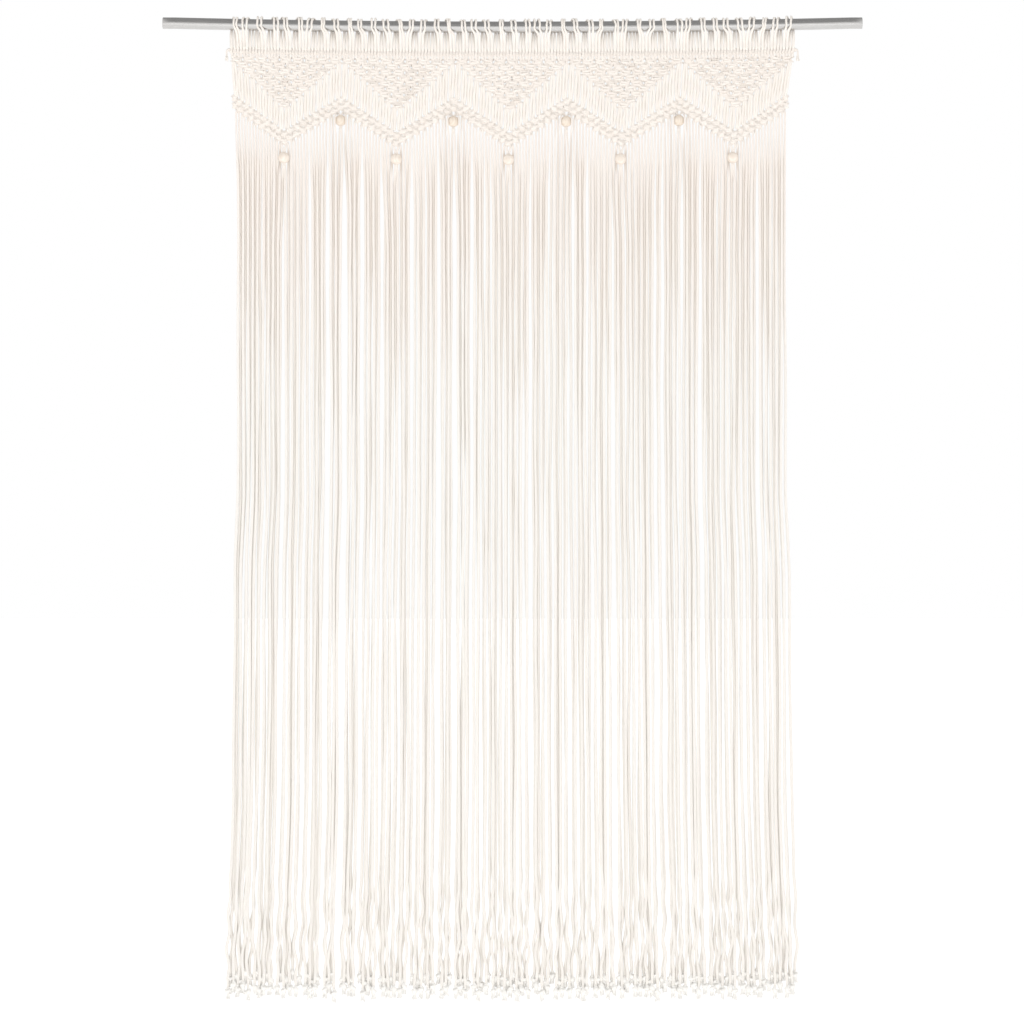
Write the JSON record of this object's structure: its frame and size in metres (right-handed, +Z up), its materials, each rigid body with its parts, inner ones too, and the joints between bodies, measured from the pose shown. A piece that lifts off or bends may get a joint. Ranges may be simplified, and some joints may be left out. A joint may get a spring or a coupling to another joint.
{
  "type": "macrame curtain on a rod",
  "caption": "Macrame curtain of knotted cotton cords with a beaded zigzag heading and a long fringe, hanging by cord loops from a plain metal rod.",
  "frame": {"origin": "on the rod's axis at mid-length", "axes": "+X along the rod, +Z up, the curtain's front faces -Y"},
  "size_m": [1.71, 0.0412, 2.407],
  "materials": {
    "cotton_cord": "natural plied cotton, matt",
    "bead_wood": "smooth unvarnished wood",
    "rod_metal": "satin"
  },
  "bodies": {
    "root": {"rod": "rod_metal", "macrame_heading": "cotton_cord", "fringe": "cotton_cord", "bead_upper_1": "bead_wood", "bead_upper_2": "bead_wood", "bead_upper_3": "bead_wood", "bead_upper_4": "bead_wood", "bead_lower_1": "bead_wood", "bead_lower_2": "bead_wood", "bead_lower_3": "bead_wood", "bead_lower_4": "bead_wood", "bead_lower_5": "bead_wood"}
  },
  "joints": []
}
